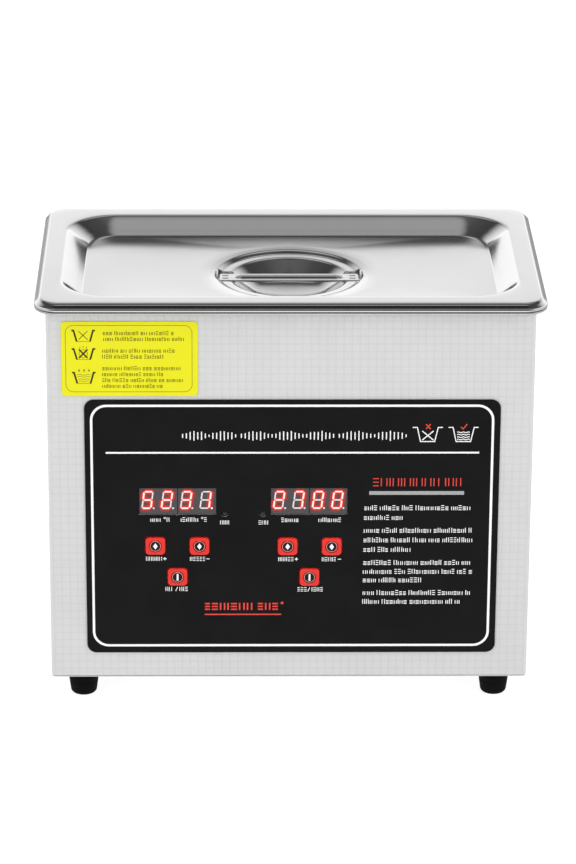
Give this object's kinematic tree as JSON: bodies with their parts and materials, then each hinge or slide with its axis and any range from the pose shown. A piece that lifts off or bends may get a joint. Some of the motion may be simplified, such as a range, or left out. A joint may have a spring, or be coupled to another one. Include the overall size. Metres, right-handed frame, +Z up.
{
  "type": "ultrasonic cleaner",
  "caption": "Bench-top ultrasonic cleaner: embossed steel casing with a black control panel, drawn tank, drop-in dished lid with bar handle, rubber feet and a fused rear inlet.",
  "frame": {"origin": "centre of the overall box at the plane the feet stand on", "axes": "+X to the operator's right, +Y away from the operator towards the rear wall, +Z up"},
  "size_m": [0.265, 0.162, 0.2265],
  "materials": {
    "steel_embossed": "stainless sheet, small square embossed grid, satin",
    "steel_plain": "stainless sheet, mill finish",
    "steel_drawn": "deep-drawn stainless, satin inside",
    "steel_polished": "bright polished stainless",
    "zinc_plated": "zinc-plated steel",
    "aluminium_plain": "machined or extruded",
    "nickel_brass": "nickel-plated",
    "rubber_black": "matt moulded",
    "silicone_grey": "translucent bead",
    "heater_silicone": "moulded silicone pad",
    "overlay_black": "screen-printed film, semi-gloss",
    "label_yellow": "printed vinyl",
    "display_face": "tinted lens with pale segments",
    "led_lens": "smoked red lens",
    "button_red": "moulded red cap",
    "plastic_black": "moulded thermoset",
    "circuit_board": "green solder mask",
    "ferrite_black": "ferrite core with taped winding",
    "piezo_ceramic": "silvered ceramic rings",
    "ribbon_grey": "flat cable",
    "cutout_grey": "capsule with ceramic base"
  },
  "bodies": {
    "housing": {"bottom_plate": "steel_plain", "casing": "steel_embossed", "control_board": "circuit_board", "display_actual_temperature": "display_face", "display_minutes": "display_face", "display_seconds": "display_face", "display_set_temperature": "display_face", "foot_front_left": "rubber_black", "foot_front_right": "rubber_black", "foot_rear_left": "rubber_black", "foot_rear_right": "rubber_black", "foot_screw_front_left": "zinc_plated", "foot_screw_front_right": "zinc_plated", "foot_screw_rear_left": "zinc_plated", "foot_screw_rear_right": "zinc_plated", "generator_board": "circuit_board", "guidance_label": "label_yellow", "heat_sink": "aluminium_plain", "heater_led": "led_lens", "heater_pad_left": "heater_silicone", "heater_pad_right": "heater_silicone", "inlet_pin_earth": "nickel_brass", "inlet_pin_line": "nickel_brass", "inlet_pin_neutral": "nickel_brass", "inlet_screw_left": "zinc_plated", "inlet_screw_right": "zinc_plated", "output_transformer": "ferrite_black", "panel_overlay": "overlay_black", "power_inlet": "plastic_black", "ribbon_cable": "ribbon_grey", "rim_seal": "silicone_grey", "switch_heater_on_off": "plastic_black", "switch_temperature_down": "plastic_black", "switch_temperature_up": "plastic_black", "switch_time_down": "plastic_black", "switch_time_up": "plastic_black", "switch_ultrasound_on_off": "plastic_black", "tank": "steel_drawn", "temperature_sensor": "zinc_plated", "thermal_cutout": "cutout_grey", "transducer_left_back_mass": "zinc_plated", "transducer_left_bolt": "zinc_plated", "transducer_left_front_mass": "aluminium_plain", "transducer_left_lower_ring": "piezo_ceramic", "transducer_left_upper_ring": "piezo_ceramic", "transducer_right_back_mass": "zinc_plated", "transducer_right_bolt": "zinc_plated", "transducer_right_front_mass": "aluminium_plain", "transducer_right_lower_ring": "piezo_ceramic", "transducer_right_upper_ring": "piezo_ceramic", "ultrasound_led": "led_lens"},
    "lid": {"lid": "steel_polished", "lid_handle": "steel_polished"},
    "fuse_drawer": {"fuse_drawer": "plastic_black"},
    "button_temperature_up": {"button_temperature_up": "button_red"},
    "button_temperature_down": {"button_temperature_down": "button_red"},
    "button_heater_on_off": {"button_heater_on_off": "button_red"},
    "button_time_up": {"button_time_up": "button_red"},
    "button_time_down": {"button_time_down": "button_red"},
    "button_ultrasound_on_off": {"button_ultrasound_on_off": "button_red"}
  },
  "joints": [
    {"name": "lid_lift", "type": "slide", "parent": "housing", "child": "lid", "axis": [0, 0, 1], "range_m": [0, 0.08]},
    {"name": "temperature_up_press", "type": "slide", "parent": "housing", "child": "button_temperature_up", "axis": [0, 1, 0], "range_m": [0, 0.0005], "stiffness_N_per_m": 2000},
    {"name": "temperature_down_press", "type": "slide", "parent": "housing", "child": "button_temperature_down", "axis": [0, 1, 0], "range_m": [0, 0.0005], "stiffness_N_per_m": 2000},
    {"name": "heater_on_off_press", "type": "slide", "parent": "housing", "child": "button_heater_on_off", "axis": [0, 1, 0], "range_m": [0, 0.0005], "stiffness_N_per_m": 2000},
    {"name": "time_up_press", "type": "slide", "parent": "housing", "child": "button_time_up", "axis": [0, 1, 0], "range_m": [0, 0.0005], "stiffness_N_per_m": 2000},
    {"name": "time_down_press", "type": "slide", "parent": "housing", "child": "button_time_down", "axis": [0, 1, 0], "range_m": [0, 0.0005], "stiffness_N_per_m": 2000},
    {"name": "ultrasound_on_off_press", "type": "slide", "parent": "housing", "child": "button_ultrasound_on_off", "axis": [0, 1, 0], "range_m": [0, 0.0005], "stiffness_N_per_m": 2000},
    {"name": "fuse_drawer_slide", "type": "slide", "parent": "housing", "child": "fuse_drawer", "axis": [0, 1, 0], "range_m": [0, 0.022]}
  ]
}
